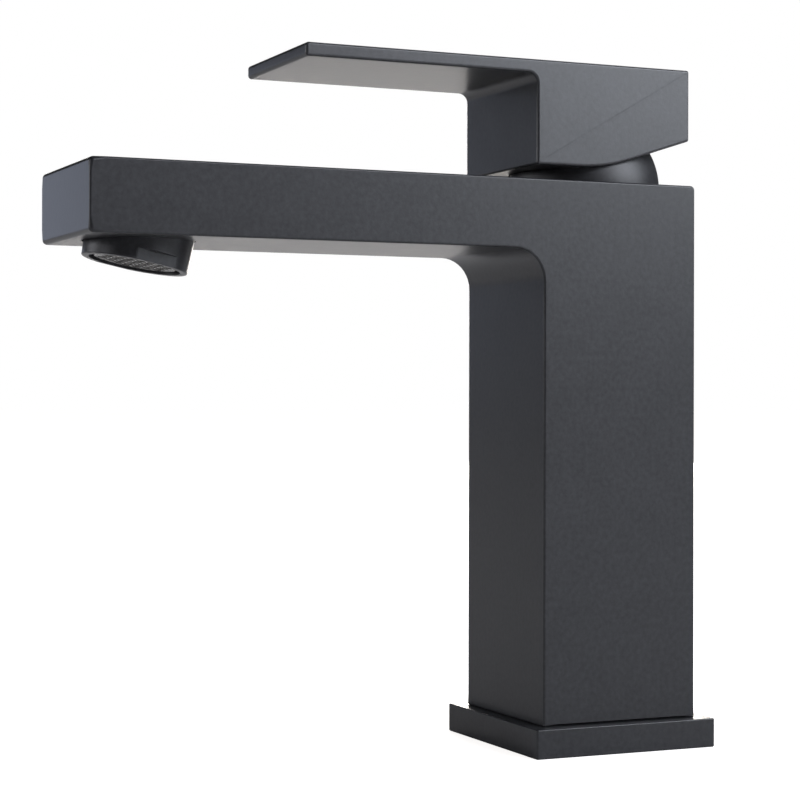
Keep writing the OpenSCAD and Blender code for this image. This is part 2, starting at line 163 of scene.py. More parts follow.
def rounded_slab(outline: Outline, width: float, steps: int = 6) -> np.ndarray:
    """Carries an outline across the tap's width, with a quarter round at both faces.

    For the quarter round's angle a from 0 to 90 degrees and edge radius r, a ring lies at
    x = width / 2 - r + r * sin(a), drawn in by r - r * cos(a).

    Args:
        outline: Side outline, in (y, z).
        width: Distance between the two faces.
        steps: Number of chords in the quarter round.

    Returns:
        Grid of points, shape (rings, N, 3), from the -X face to the +X face.
    """
    points, radius = outline.sample()
    angles = np.linspace(0, math.pi / 2, steps + 1)
    half = []
    for angle in angles:
        flat = inset(points, radius * (1 - math.cos(angle)))
        x = width / 2 - radius * (1 - math.sin(angle))
        half.append(np.column_stack([x, flat]))
    right = np.stack(half)
    left = right[::-1] * np.array([-1, 1, 1])
    return np.concatenate([left, right])


def lathe(profile: Sequence[tuple[float, float]], segments: int = 128) -> np.ndarray:
    """Turns a profile about Z: a point at (r, z) becomes (r cos t, r sin t, z).

    Args:
        profile: Points (r, z), in metres.
        segments: Number of steps in the full turn.

    Returns:
        Grid of points, shape (len(profile), segments, 3).
    """
    r, z = np.array(profile, float).T
    t = np.arange(segments) * 2 * math.pi / segments
    return np.stack([np.outer(r, np.cos(t)), np.outer(r, np.sin(t)), np.outer(z, np.ones(segments))], axis=2)


def arc(centre: tuple[float, float], radius: float, start: float, end: float, steps: int = 6
        ) -> list[tuple[float, float]]:
    """Points of an arc, centre + radius * (cos a, sin a), with a from start to end.

    Args:
        centre: The arc's centre.
        radius: Its radius.
        start: First angle, in degrees.
        end: Last angle, in degrees.
        steps: Number of chords.

    Returns:
        The points, both ends included.
    """
    a = np.radians(np.linspace(start, end, steps + 1))
    return list(zip(centre[0] + radius * np.cos(a), centre[1] + radius * np.sin(a)))


def surface(name: str, grid: np.ndarray, closed: bool) -> bpy.types.Object:
    """Makes a closed mesh object from a grid whose rows are rings.

    Args:
        name: Name of the piece.
        grid: Points, shape (rows, columns, 3). Each row closes on itself.
        closed: True where the last row joins the first, and False where flat caps end the grid.

    Returns:
        The object, at the origin.
    """
    rows, columns = grid.shape[:2]
    ids = np.arange(rows * columns).reshape(rows, columns)
    ahead = np.roll(ids, -1, axis=1)
    below = np.roll(ids, -1, axis=0)
    across = np.roll(below, -1, axis=1)
    quads = np.stack([ids, ahead, across, below], axis=2)
    quads = quads if closed else quads[:-1]
    faces = quads.reshape(-1, 4).tolist()
    if not closed:
        faces += [ids[0][::-1].tolist(), ids[-1].tolist()]
    mesh = bpy.data.meshes.new(name)
    mesh.from_pydata(grid.reshape(-1, 3).tolist(), [], faces)
    piece = bpy.data.objects.new(name, mesh)
    bpy.context.scene.collection.objects.link(piece)
    tidy(piece)
    return piece


def tidy(piece: bpy.types.Object) -> None:
    """Merges doubled points and turns every face outwards.

    Args:
        piece: A closed mesh object.
    """
    work = bmesh.new()
    work.from_mesh(piece.data)
    bmesh.ops.remove_doubles(work, verts=work.verts, dist=0.0005 * MM)
    bmesh.ops.dissolve_degenerate(work, edges=work.edges, dist=0.0002 * MM)
    bmesh.ops.recalc_face_normals(work, faces=work.faces)
    work.to_mesh(piece.data)
    work.free()


def boolean(piece: bpy.types.Object, tool: bpy.types.Object, operation: str) -> None:
    """Joins a closed solid to a piece or cuts it away, and removes the tool.

    Args:
        piece: The piece that changes.
        tool: The solid to add or to take away.
        operation: "UNION" or "DIFFERENCE".
    """
    step = piece.modifiers.new("step", "BOOLEAN")
    step.operation = operation
    step.solver = "EXACT"
    step.object = tool
    bpy.context.view_layer.update()
    solved = piece.evaluated_get(bpy.context.evaluated_depsgraph_get())
    mesh = bpy.data.meshes.new_from_object(solved)
    piece.modifiers.clear()
    old = piece.data
    piece.data = mesh
    mesh.name = piece.name
    bpy.data.meshes.remove(old)
    bpy.data.meshes.remove(tool.data)
    tidy(piece)


def shade(piece: bpy.types.Object, angle: float = 28.0) -> None:
    """Shades a piece smooth, with flat faces kept flat and true edges kept sharp.

    Args:
        piece: The piece.
        angle: Edges that turn more than this, in degrees, stay sharp.
    """
    count = len(piece.data.polygons)
    piece.data.polygons.foreach_set("use_smooth", np.ones(count, bool))
    piece.data.set_sharp_from_angle(angle=math.radians(angle))
    weigh = piece.modifiers.new("flat_faces", "WEIGHTED_NORMAL")
    weigh.mode = "FACE_AREA"
    weigh.weight = 100
    weigh.keep_sharp = True


def stand(piece: bpy.types.Object, place: Matrix) -> bpy.types.Object:
    """Puts a piece's place into its mesh and leaves its object at the origin.

    Args:
        piece: A piece modelled about its own Z axis.
        place: Where that axis stands on the tap.

    Returns:
        The same piece.
    """
    piece.data.transform(place)
    return piece


# ---- the tap's places ---------------------------------------------------------------------------


@dataclass(frozen=True)
class Layout:
    """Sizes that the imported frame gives, and the places that follow from them."""

    half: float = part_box("body")[1].x
    top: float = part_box("body")[1].z
    spout_end: float = -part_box("body")[0].y
    plate_top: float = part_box("deck_plate")[1].z
    plate_half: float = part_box("deck_plate")[1].x
    handle_half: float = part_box("handle")[1].x
    handle_top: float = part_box("handle")[1].z
    handle_bottom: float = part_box("handle")[0].z
    handle_back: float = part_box("handle")[1].y
    lever_end: float = -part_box("handle")[0].y
    dome_r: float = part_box("dome_cover")[1].x
    chamber_floor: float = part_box("inlet_seals")[0].z
    nut_bottom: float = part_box("retaining_nut")[0].z
    pivot: Vector = Vector((0, 1 * MM, 140.4 * MM))
    spout_t: float = 17 * MM
    reach: float = 117 * MM
    aerator_tilt: float = math.radians(11)
    lever_lean: float = math.radians(12.5)
    screw_height: float = 15 * MM

    def frame_of(self, axis: Axis) -> Matrix:
        """Gives the place of a turned piece.

        Args:
            axis: Which of the tap's axes the piece turns about.

        Returns:
            The matrix that carries the piece's own Z axis there.
        """
        if axis is Axis.AERATOR:
            seat = Matrix.Translation((0, -self.reach, self.top - self.spout_t))
            return seat @ Matrix.Rotation(-self.aerator_tilt, 4, "X")
        at_pivot = Matrix.Translation(self.pivot)
        if axis is Axis.UP:
            return at_pivot
        lever = at_pivot @ Matrix.Rotation(self.lever_lean, 4, "X")
        if axis is Axis.SHANK:
            return lever
        across = Matrix.Translation((0, 0, self.screw_height)) @ Matrix.Rotation(-math.pi / 2, 4, "X")
        return lever @ across


# ---- pieces ------------------------------------------------------------------------------------


@dataclass
class BodyCasting:
    """The column and spout, one casting, with its foot, chamber and aerator seat."""

    layout: Layout
    corner_r: float = 1.15 * MM
    end_rounding: float = 1.05 * MM
    edge_rounding: float = 0.5 * MM
    fillet: float = 8 * MM
    foot_r: float = 16 * MM
    foot_bottom: float = 3 * MM
    port_x: float = 7 * MM
    port_y: float = -4.5 * MM
    port_r: float = 4.5 * MM
    port_depth: float = 12 * MM
    stud_y: float = 9 * MM
    stud_r: float = 3.4 * MM
    stud_depth: float = 14 * MM
    chamber_r: float = 17.65 * MM
    nut_bore_r: float = 18 * MM
    seat_r: float = 13.15 * MM
    seat_depth: float = 3.6 * MM
    seat_reach: float = 8 * MM
    thread_r: float = 11.95 * MM
    thread_depth: float = 9 * MM
    sharp_r: float = 0.3 * MM
    sunk: float = 5 * MM

    def outline(self) -> Outline:
        """Gives the side outline of column and spout, in (y, z).

        Returns:
            The outline, run counter-clockwise.
        """
        at = self.layout
        under = at.top - at.spout_t
        soft = self.end_rounding
        return Outline((
            Corner(-at.half, at.plate_top, self.sharp_r, self.sharp_r),
            Corner(at.half, at.plate_top, self.sharp_r, self.sharp_r),
            Corner(at.half, at.top, self.corner_r),
            Corner(-at.spout_end, at.top, self.corner_r, soft),
            Corner(-at.spout_end, under, self.corner_r, soft),
            Corner(-at.half, under, self.fillet),
        ), self.edge_rounding)

    def drill(self, r: float, bottom: float, top: float, x: float = 0.0, y: float = 0.0) -> bpy.types.Object:
        """Makes a plain round tool, standing upright.

        Args:
            r: Radius.
            bottom: Height of its lower end.
            top: Height of its upper end.
            x: Place across the tap.
            y: Place along the spout.

        Returns:
            The tool.
        """
        tool = surface("tool", lathe([(r, bottom), (r, top)], segments=96), closed=False)
        return stand(tool, Matrix.Translation((x, y, 0)))

    def build(self) -> bpy.types.Object:
        """Builds the casting: the rounded slab, plus the foot, less its bores.

        Returns:
            The casting, in its place.
        """
        at = self.layout
        piece = surface("body_casting", rounded_slab(self.outline(), 2 * at.half), closed=False)
        boolean(piece, self.drill(self.foot_r, self.foot_bottom, at.plate_top + self.sunk), "UNION")
        bores = [self.drill(self.chamber_r, at.chamber_floor, at.top + MM, y=at.pivot.y),
                 self.drill(self.nut_bore_r, at.nut_bottom, at.top + MM, y=at.pivot.y),
                 self.drill(self.stud_r, 0, self.foot_bottom + self.stud_depth, y=self.stud_y)]
        port_top = self.foot_bottom + self.port_depth
        bores += [self.drill(self.port_r, 0, port_top, side * self.port_x, self.port_y) for side in (-1, 1)]
        seat = surface("tool", lathe([(self.seat_r, -self.seat_reach), (self.seat_r, self.seat_depth),
                                      (self.thread_r, self.seat_depth), (self.thread_r, self.thread_depth)]),
                       closed=False)
        bores.append(stand(seat, at.frame_of(Axis.AERATOR)))
        for bore in bores:
            boolean(piece, bore, "DIFFERENCE")
        shade(piece)
        return piece


@dataclass
class DeckPlate:
    """The square plate under the column, with the gasket's recess in its underside."""

    layout: Layout
    corner_r: float = 0.5 * MM
    edge_r: float = 0.3 * MM
    hole_r: float = 16.15 * MM
    gasket_t: float = 2.8 * MM
    rim: float = 3 * MM
    recess_r: float = 0.3 * MM
    segments: int = 256
    crowding: float = 1.2
    edge_points: int = 5

    def square_ring(self, half: float, radius: float, z: float) -> np.ndarray:
        """Works out a rounded square.

        The distance from the middle in the direction t is the square's, half / max(|cos t|, |sin t|),
        held inside the corner's arc, whose middle lies at half - radius on both axes.

        Args:
            half: Half the square's width.
            radius: Radius of its corners.
            z: Height of the ring.

        Returns:
            The ring, shape (segments, 3).
        """
        t = self.angles()
        c, s = np.abs(np.cos(t)), np.abs(np.sin(t))
        flat = half / np.maximum(c, s)
        centre = half - radius
        along = centre * (c + s)
        bent = along + np.sqrt(np.maximum(along ** 2 - 2 * centre ** 2 + radius ** 2, 0))
        in_corner = np.minimum(flat * c, flat * s) > centre
        reach = np.where(in_corner, bent, flat)
        return np.column_stack([reach * np.cos(t), reach * np.sin(t), np.full(len(t), z)])

    def angles(self) -> np.ndarray:
        """Gives the directions of a ring's points, crowded towards the four corners.

        In each quarter, with q evenly spread from -1 to 1, a point lies in the direction
        pi / 4 * (1 + q * |q| ** crowding) from the quarter's start.

        Returns:
            The directions in radians, shape (segments,).
        """
        q = np.linspace(-1, 1, self.segments // 4, endpoint=False)
        crowded = math.pi / 4 * (1 + q * np.abs(q) ** self.crowding)
        return np.concatenate([crowded + k * math.pi / 2 for k in range(4)])

    def round_ring(self, radius: float, z: float) -> np.ndarray:
        """Works out a circle whose points lie in the same directions as the squares'.

        Args:
            radius: Its radius.
            z: Height of the ring.

        Returns:
            The ring, shape (segments, 3).
        """
        t = self.angles()
        return np.column_stack([radius * np.cos(t), radius * np.sin(t), np.full(len(t), z)])

    def build(self) -> bpy.types.Object:
        """Builds the plate from rings: down the hole, under the recess, and up round the rim.

        Returns:
            The plate, in its place.
        """
        at = self.layout
        half, top, r = at.plate_half, at.plate_top, self.edge_r
        recess = half - self.rim
        rings = [self.round_ring(self.hole_r, top), self.round_ring(self.hole_r, self.gasket_t),
                 self.square_ring(recess, self.recess_r, self.gasket_t),
                 self.square_ring(recess, self.recess_r, 0)]
        for start, end, centre in ((-90, 0, r), (0, 90, top - r)):
            for a in np.radians(np.linspace(start, end, self.edge_points)):
                rings.append(self.square_ring(half - r + r * math.cos(a), self.corner_r,
                                              centre + r * math.sin(a)))
        piece = surface("deck_plate_shell", np.stack(rings), closed=True)
        shade(piece)
        return piece


@dataclass
class DomeCover:
    """The domed cover between the body and the handle."""

    layout: Layout
    wall: float = 1.6 * MM
    opening: float = 46.05
    lip: float = 0.35 * MM
    lip_turn: float = 1.6
    foot_start: float = 0.4
    foot_end: float = 17
    foot_inner_r: float = 17.1 * MM
    foot_rise: float = 0.06 * MM

    def build(self) -> bpy.types.Object:
        """Builds the dome: an arc out, a rounded lip at the opening, an arc back in, and the foot.

        Returns:
            The dome, in its place.
        """
        r = self.layout.dome_r
        inner = r - self.wall
        mid = r - self.wall / 2
        tip = 90 - self.opening
        crest = math.radians(tip + self.lip_turn)
        profile = arc((0, 0), r, self.foot_start, tip, steps=40)
        profile.append((mid * math.cos(crest), mid * math.sin(crest)))
        profile += arc((0, 0), inner, tip, self.foot_end, steps=30)
        profile.append((self.foot_inner_r, self.foot_rise))
        profile.append((r - self.lip, self.foot_rise))
        piece = surface("dome", lathe(profile, segments=160), closed=True)
        shade(stand(piece, self.layout.frame_of(Axis.UP)))
        return piece


@dataclass
class Handle:
    """The block with its flat lever plate, hollow over the dome."""

    layout: Layout
    lever_t: float = 3.3 * MM
    block_over: float = 1.35 * MM
    tip_r: float = 0.9 * MM
    tip_rounding: float = 0.6 * MM
    neck_r: float = 2.5 * MM
    corner_r: float = 0.6 * MM
    edge_rounding: float = 0.65 * MM
    under_slope: float = math.radians(18)
    under_rise: float = 7.7 * MM
    under_r: float = 44 * MM
    dome_gap: float = 0.3 * MM
    boss_r: float = 7.5 * MM
    boss_start: float = 11 * MM
    shank_half: float = 4.05 * MM
    shank_end: float = 24.2 * MM
    screw_r: float = 2.1 * MM
    screw_end: float = 9 * MM
    stem_r: float = 3 * MM
    cap_r: float = 4.05 * MM
    cap_depth: float = 3.6 * MM
    beyond: float = 40 * MM
    pole: float = 89.99

    def outline(self) -> Outline:
        """Gives the side outline of block and lever, in (y, z).

        Returns:
            The outline, run counter-clockwise.
        """
        at = self.layout
        front = at.half + self.block_over
        bend = at.handle_back - self.under_rise / math.tan(self.under_slope)
        lever_under = at.handle_top - self.lever_t
        return Outline((
            Corner(-front, at.handle_bottom, self.corner_r),
            Corner(bend, at.handle_bottom, self.under_r),
            Corner(at.handle_back, at.handle_bottom + self.under_rise, self.corner_r),
            Corner(at.handle_back, at.handle_top, self.corner_r),
            Corner(-at.lever_end, at.handle_top, self.tip_r, self.tip_rounding),
            Corner(-at.lever_end, lever_under, self.tip_r, self.tip_rounding),
            Corner(-front, lever_under, self.neck_r),
        ), self.edge_rounding)

    def socket(self) -> bpy.types.Object:
        """Makes the tool for the shank's square socket.

        Returns:
            The tool, along the shank.
        """
        h = self.shank_half
        square = np.array([[-h, -h], [h, -h], [h, h], [-h, h]])
        rings = [np.column_stack([square, np.full(4, z)]) for z in (MM, self.shank_end)]
        return stand(surface("tool", np.stack(rings), closed=False), self.layout.frame_of(Axis.SHANK))

    def build(self) -> bpy.types.Object:
        """Builds the handle: the rounded slab, less the dome's hollow, socket and screw hole.

        Returns:
            The handle, in its place at rest.
        """
        at = self.layout
        piece = surface("handle_shell", rounded_slab(self.outline(), 2 * at.handle_half), closed=False)
        r = at.dome_r + self.dome_gap
        hollow = surface("tool", lathe(arc((0, 0), r, -self.pole, self.pole, steps=48)), closed=False)
        stand(hollow, at.frame_of(Axis.UP))
        boss_line = [(self.boss_r, self.boss_start), (self.boss_r, self.beyond)]
        boss = surface("tool", lathe(boss_line), closed=False)
        boolean(hollow, stand(boss, at.frame_of(Axis.SHANK)), "DIFFERENCE")
        boolean(piece, hollow, "DIFFERENCE")
        boolean(piece, self.socket(), "DIFFERENCE")
        floor = self.cap_floor()
        hole_line = [(self.screw_r, 0), (self.screw_r, self.screw_end), (self.stem_r, self.screw_end),
                     (self.stem_r, floor), (self.cap_r, floor), (self.cap_r, self.beyond)]
        hole = surface("tool", lathe(hole_line, segments=64), closed=False)
        boolean(piece, stand(hole, at.frame_of(Axis.SCREW)), "DIFFERENCE")
        shade(piece)
        return piece

    def cap_floor(self) -> float:
        """Works out where the cap's seat lies along the screw's line.

        Returns:
            Its distance from the lever's axis.
        """
        at = self.layout
        back = at.handle_back - at.pivot.y + at.screw_height * math.sin(at.lever_lean)
        return back / math.cos(at.lever_lean) - self.cap_depth


@dataclass
class Aerator:
    """The collar under the spout with its wrench flats, and the bore where the cellular outlet sits."""

    layout: Layout
    r: float = 12.8 * MM
    taper: float = 0.3 * MM
    drop: float = 5.6 * MM
    top: float = 3.5 * MM
    thread_r: float = 11.85 * MM
    thread_top: float = 7.8 * MM
    flat_depth: float = 1.3 * MM
    flat_height: float = 2.7 * MM
    flats_turn: float = math.radians(8)
    bore_r: float = 10.3 * MM
    lip_r: float = 9.75 * MM
    lip_height: float = 2.4 * MM
    groove_r: float = 10.8 * MM
    groove_depth: float = 1.4 * MM
    rim_round: float = 0.3 * MM
    ledge: float = 0.02 * MM
    segments: int = 256

    def widened(self, z: float) -> float:
        """Works out the collar's radius, which tapers evenly towards the outlet.

        Args:
            z: Height along the collar's axis.

        Returns:
            The radius there, before the flats are cut.
        """
        slope = self.taper / (self.drop + self.top)
        return self.r - self.taper + slope * (z + self.drop)

    def collar(self) -> bpy.types.Object:
        """Builds the collar.

        It is turned about its axis, and each ring up to the flats' height is held inside the two
        flats: its radius in the direction t is min(r, flat / |cos(t - turn)|).

        Returns:
            The collar, in its place under the spout.
        """
        low = -self.drop
        e = self.rim_round
        step = low + self.flat_height
        outer = arc((self.r - self.taper - e, low + e), e, -90, 0, steps=5)
        outer += [(self.widened(step), step), (self.widened(step), step + self.ledge),
                  (self.widened(self.top), self.top)]
        inner = [(self.thread_r, self.top), (self.thread_r, self.thread_top), (self.bore_r, self.thread_top),
                 (self.bore_r, low + self.lip_height), (self.lip_r, low + self.lip_height),
                 (self.lip_r, low + self.groove_depth), (self.groove_r, low + self.groove_depth),
                 (self.groove_r, low)]
        grid = lathe(outer + inner, self.segments)
        t = np.arange(self.segments) * 2 * math.pi / self.segments
        flat = (self.r - self.flat_depth) / np.maximum(np.abs(np.cos(t - self.flats_turn)), 1e-6)
        cut = len(outer) - 2
        radius = np.linalg.norm(grid[:cut, :, :2], axis=2)
        grid[:cut, :, :2] *= (np.minimum(radius, flat[None, :]) / radius)[:, :, None]
        piece = surface("aerator_collar", grid, closed=True)
        shade(stand(piece, self.layout.frame_of(Axis.AERATOR)), angle=22)
        return piece


@dataclass
class ScrewCap:
    """The round cap over the grub screw's hole at the handle's back."""

    layout: Layout
    seat: float
    r: float = 4 * MM
    stem_r: float = 2.9 * MM
    stem: float = 2.9 * MM
    proud: float = 0.28 * MM
    blank: float = 12 * MM
    tool_half: float = 30 * MM

    def build(self) -> bpy.types.Object:
        """Builds the cap: a stem and a turned head, cut level with the handle's upright back.

        Returns:
            The cap, in its place at rest.
        """
        head = [(0, self.seat - self.stem), (self.stem_r, self.seat - self.stem), (self.stem_r, self.seat),
                (self.r, self.seat), (self.r, self.seat + self.blank), (0, self.seat + self.blank)]
        at = self.layout
        piece = surface("rear_cap", lathe(head, segments=96), closed=False)
        stand(piece, at.frame_of(Axis.SCREW))
        back = at.handle_back + self.proud
        square = np.array([[-1, -1], [1, -1], [1, 1], [-1, 1]]) * self.tool_half
        rings = [np.column_stack([square[:, 0], np.full(4, y), square[:, 1] + at.top])
                 for y in (back, back + 2 * self.tool_half)]
        boolean(piece, surface("tool", np.stack(rings), closed=False), "DIFFERENCE")
        shade(piece)
        return piece


# ---- finishes ----------------------------------------------------------------------------------


Colour = tuple[float, float, float]


@dataclass
class Net:
    """A node tree that is being wired."""

    tree: bpy.types.NodeTree

    def add(self, kind: str, settings: dict | None = None, **inputs: object) -> bpy.types.Node:
        """Adds a node.

        Args:
            kind: The node's type.
            settings: The node's own properties.
            inputs: Values or sockets by input name, with _ for a space.

        Returns:
            The node.
        """
        node = self.tree.nodes.new(kind)
        for key, value in (settings or {}).items():
            setattr(node, key, value)
        for key, value in inputs.items():
            self.feed(node, key.replace("_", " "), value)
        return node

    def feed(self, node: bpy.types.Node, key: str | int, value: object) -> None:
        """Links a socket to an input, or sets the input's value.

        Args:
            node: The node that is fed.
            key: The input's name or number.
            value: A socket to link, or a value to set.
        """
        if isinstance(value, bpy.types.NodeSocket):
            self.tree.links.new(value, node.inputs[key])
        else:
            node.inputs[key].default_value = value

    def maths(self, operation: str, *values: object) -> bpy.types.NodeSocket:
        """Adds a Math node.

        Args:
            operation: What it works out.
            values: Its inputs in order, as sockets or numbers.

        Returns:
            Its output.
        """
        node = self.add("ShaderNodeMath", {"operation": operation})
        for index, value in enumerate(values):
            self.feed(node, index, value)
        return node.outputs[0]

    def blend(self, mask: bpy.types.NodeSocket, low: Colour, high: Colour) -> bpy.types.NodeSocket:
        """Mixes two colours.

        Args:
            mask: 0 for the first colour, 1 for the second.
            low: The first colour, as a value or a socket.
            high: The second colour, as a value or a socket.

        Returns:
            The mixed colour.
        """
        node = self.add("ShaderNodeMix", {"data_type": "RGBA"})
        self.feed(node, 0, mask)
        self.feed(node, 6, (*low, 1.0) if isinstance(low, tuple) else low)
        self.feed(node, 7, (*high, 1.0) if isinstance(high, tuple) else high)
        return node.outputs[2]

    def spread(self, mask: bpy.types.NodeSocket, low: float, high: float) -> bpy.types.NodeSocket:
        """Carries a mask from 0..1 to low..high.

        Args:
            mask: The mask.
            low: Value where the mask is 0.
            high: Value where the mask is 1.

        Returns:
            The carried value.
        """
        node = self.add("ShaderNodeMapRange", From_Min=0.0, From_Max=1.0, To_Min=low, To_Max=high, Value=mask)
        return node.outputs[0]


def shared_group(name: str, inputs: dict[str, float], outputs: dict[str, str]) -> tuple[Net, object, object]:
    """Opens a new shader node group.

    Args:
        name: Name of the group.
        inputs: Float inputs by name, with their usual values.
        outputs: Outputs by name, with their socket types.

    Returns:
        The group's net, its input node and its output node.
    """
    tree = bpy.data.node_groups.new(name, "ShaderNodeTree")
    for key, value in inputs.items():
        tree.interface.new_socket(key, in_out="INPUT", socket_type="NodeSocketFloat").default_value = value
    for key, kind in outputs.items():
        tree.interface.new_socket(key, in_out="OUTPUT", socket_type=kind)
    net = Net(tree)
    return net, net.add("NodeGroupInput"), net.add("NodeGroupOutput")


def speckle_group() -> bpy.types.NodeTree:
    """Gives the group for a fine-grained surface: speckle, broad tone, and the relief of the grain.

    Returns:
        The node group, made at its first use.
    """
    name = "fine_grain"
    if name in bpy.data.node_groups:
        return bpy.data.node_groups[name]
    net, given, out = shared_group(
        name, {"Grain": 1500.0, "Tone": 40.0, "Relief": 0.2},
        {"Speckle": "NodeSocketFloat", "Tone": "NodeSocketFloat", "Normal": "NodeSocketVector"})
    place = net.add("ShaderNodeTexCoord").outputs["Object"]
    fine = net.add("ShaderNodeTexNoise", Vector=place, Scale=given.outputs["Grain"], Detail=2.0,
                   Roughness=0.6)
    broad = net.add("ShaderNodeTexNoise", Vector=place, Scale=given.outputs["Tone"], Detail=2.0,
                    Roughness=0.5)
    bump = net.add("ShaderNodeBump", Strength=given.outputs["Relief"], Distance=0.03 * MM,
                   Height=fine.outputs["Fac"])
    speckle = net.add("ShaderNodeMapRange", Value=fine.outputs["Fac"], From_Min=0.3, From_Max=0.7)
    tone = net.add("ShaderNodeMapRange", Value=broad.outputs["Fac"], From_Min=0.3, From_Max=0.7)
    net.feed(out, "Speckle", speckle.outputs[0])
    net.feed(out, "Tone", tone.outputs[0])
    net.feed(out, "Normal", bump.outputs[0])
    return net.tree


def turning_group() -> bpy.types.NodeTree:
    """Gives the group for lathe lines: fine rings along Z, as a mask and as relief.

    Returns:
        The node group, made at its first use.
    """
    name = "lathe_lines"
    if name in bpy.data.node_groups:
        return bpy.data.node_groups[name]
    net, given, out = shared_group(name, {"Lines": 6000.0, "Relief": 0.3},
                                   {"Lines": "NodeSocketFloat", "Normal": "NodeSocketVector"})
    place = net.add("ShaderNodeTexCoord").outputs["Object"]
    split = net.add("ShaderNodeSeparateXYZ", Vector=place)
    rings = net.add("ShaderNodeTexNoise", {"noise_dimensions": "1D"}, W=split.outputs["Z"],
                    Scale=given.outputs["Lines"], Detail=2.0)
    bump = net.add("ShaderNodeBump", Strength=given.outputs["Relief"], Distance=0.01 * MM,
                   Height=rings.outputs["Fac"])
    net.feed(out, "Lines", rings.outputs["Fac"])
    net.feed(out, "Normal", bump.outputs[0])
    return net.tree


class Finish:
    """A surface finish: it makes its material once, and dresses pieces in it."""

    name: str

    def material(self) -> bpy.types.Material:
        """Gives the finish's material, made at its first use.

        Returns:
            The material, under a name that no CAD slot has.
        """
        label = self.name + "_finish"
        if label in bpy.data.materials:
            return bpy.data.materials[label]
        material = bpy.data.materials.new(label)
        material.use_nodes = True
        net = Net(material.node_tree)
        self.wire(net, net.tree.nodes["Principled BSDF"])
        return material

    def wire(self, net: Net, surface_node: bpy.types.Node) -> None:
        """Wires the material's nodes.

        Args:
            net: The material's node tree.
            surface_node: Its Principled BSDF.
        """
        raise NotImplementedError

    def dress(self, piece: bpy.types.Object) -> None:
        """Puts the material on every slot of a piece.

        Args:
            piece: A new piece or a CAD node.
        """
        if not piece.material_slots:
            piece.data.materials.append(self.material())
        for held in piece.material_slots:
            held.material = self.material()


@dataclass(frozen=True)
class Coat(Finish):
    """A matt black coating with a fine grain."""

    name: str
    dark: Colour = (0.0165, 0.0166, 0.0182)
    light: Colour = (0.0305, 0.0307, 0.0335)
    tone: float = 0.22
    rough: float = 0.32
    rough_spread: float = 0.015
    grain: float = 800.0
    relief: float = 0.55
    specular: float = 0.5
    clouds: float = 130.0

    def wire(self, net: Net, surface_node: bpy.types.Node) -> None:
        """Wires speckled colour, uneven gloss and the grain's relief.

        Args:
            net: The material's node tree.
            surface_node: Its Principled BSDF.
        """
        grain = net.add("ShaderNodeGroup", {"node_tree": speckle_group()}, Grain=self.grain,
                        Tone=self.clouds, Relief=self.relief)
        mask = net.maths("ADD", net.maths("MULTIPLY", grain.outputs["Speckle"], 1 - self.tone),
                         net.maths("MULTIPLY", grain.outputs["Tone"], self.tone))
        net.feed(surface_node, "Base Color", net.blend(mask, self.dark, self.light))
        net.feed(surface_node, "Roughness", net.spread(mask, self.rough - self.rough_spread,
                                                       self.rough + self.rough_spread))
        net.feed(surface_node, "Normal", grain.outputs["Normal"])
        net.feed(surface_node, "Specular IOR Level", self.specular)


@dataclass(frozen=True)
class Moulded(Finish):
    """A moulded or pressed material with a faint grain: plastic, rubber or ceramic."""

    name: str
    dark: Colour
    light: Colour
    rough: float = 0.45
    grain: float = 900.0
    relief: float = 0.1
    scatter: float = 0.0
    rough_spread: float = 0.05
    clouds: float = 120.0

    def wire(self, net: Net, surface_node: bpy.types.Node) -> None:
        """Wires a cloudy colour, and gloss that follows the speckle.

        Args:
            net: The material's node tree.
            surface_node: Its Principled BSDF.
        """
        grain = net.add("ShaderNodeGroup", {"node_tree": speckle_group()}, Grain=self.grain,
                        Tone=self.clouds, Relief=self.relief)
        net.feed(surface_node, "Base Color", net.blend(grain.outputs["Tone"], self.dark, self.light))
        net.feed(surface_node, "Roughness", net.spread(grain.outputs["Speckle"],
                                                       self.rough - self.rough_spread,
                                                       self.rough + self.rough_spread))
        net.feed(surface_node, "Normal", grain.outputs["Normal"])
        net.feed(surface_node, "Subsurface Weight", self.scatter)


@dataclass(frozen=True)
class Turned(Finish):
    """Bare metal from a lathe, with fine rings."""

    name: str
    dark: Colour
    light: Colour
    rough: float = 0.25
    lines: float = 6000.0
    polished: float = 0.08
    scored: float = 0.1
    relief: float = 0.25

    def wire(self, net: Net, surface_node: bpy.types.Node) -> None:
        """Wires ring-lined colour, gloss and relief.

        Args:
            net: The material's node tree.
            surface_node: Its Principled BSDF.
        """
        rings = net.add("ShaderNodeGroup", {"node_tree": turning_group()}, Lines=self.lines,
                        Relief=self.relief)
        net.feed(surface_node, "Base Color", net.blend(rings.outputs["Lines"], self.dark, self.light))
        net.feed(surface_node, "Roughness", net.spread(rings.outputs["Lines"], self.rough - self.polished,
                                                       self.rough + self.scored))
        net.feed(surface_node, "Normal", rings.outputs["Normal"])
        net.feed(surface_node, "Metallic", 1.0)


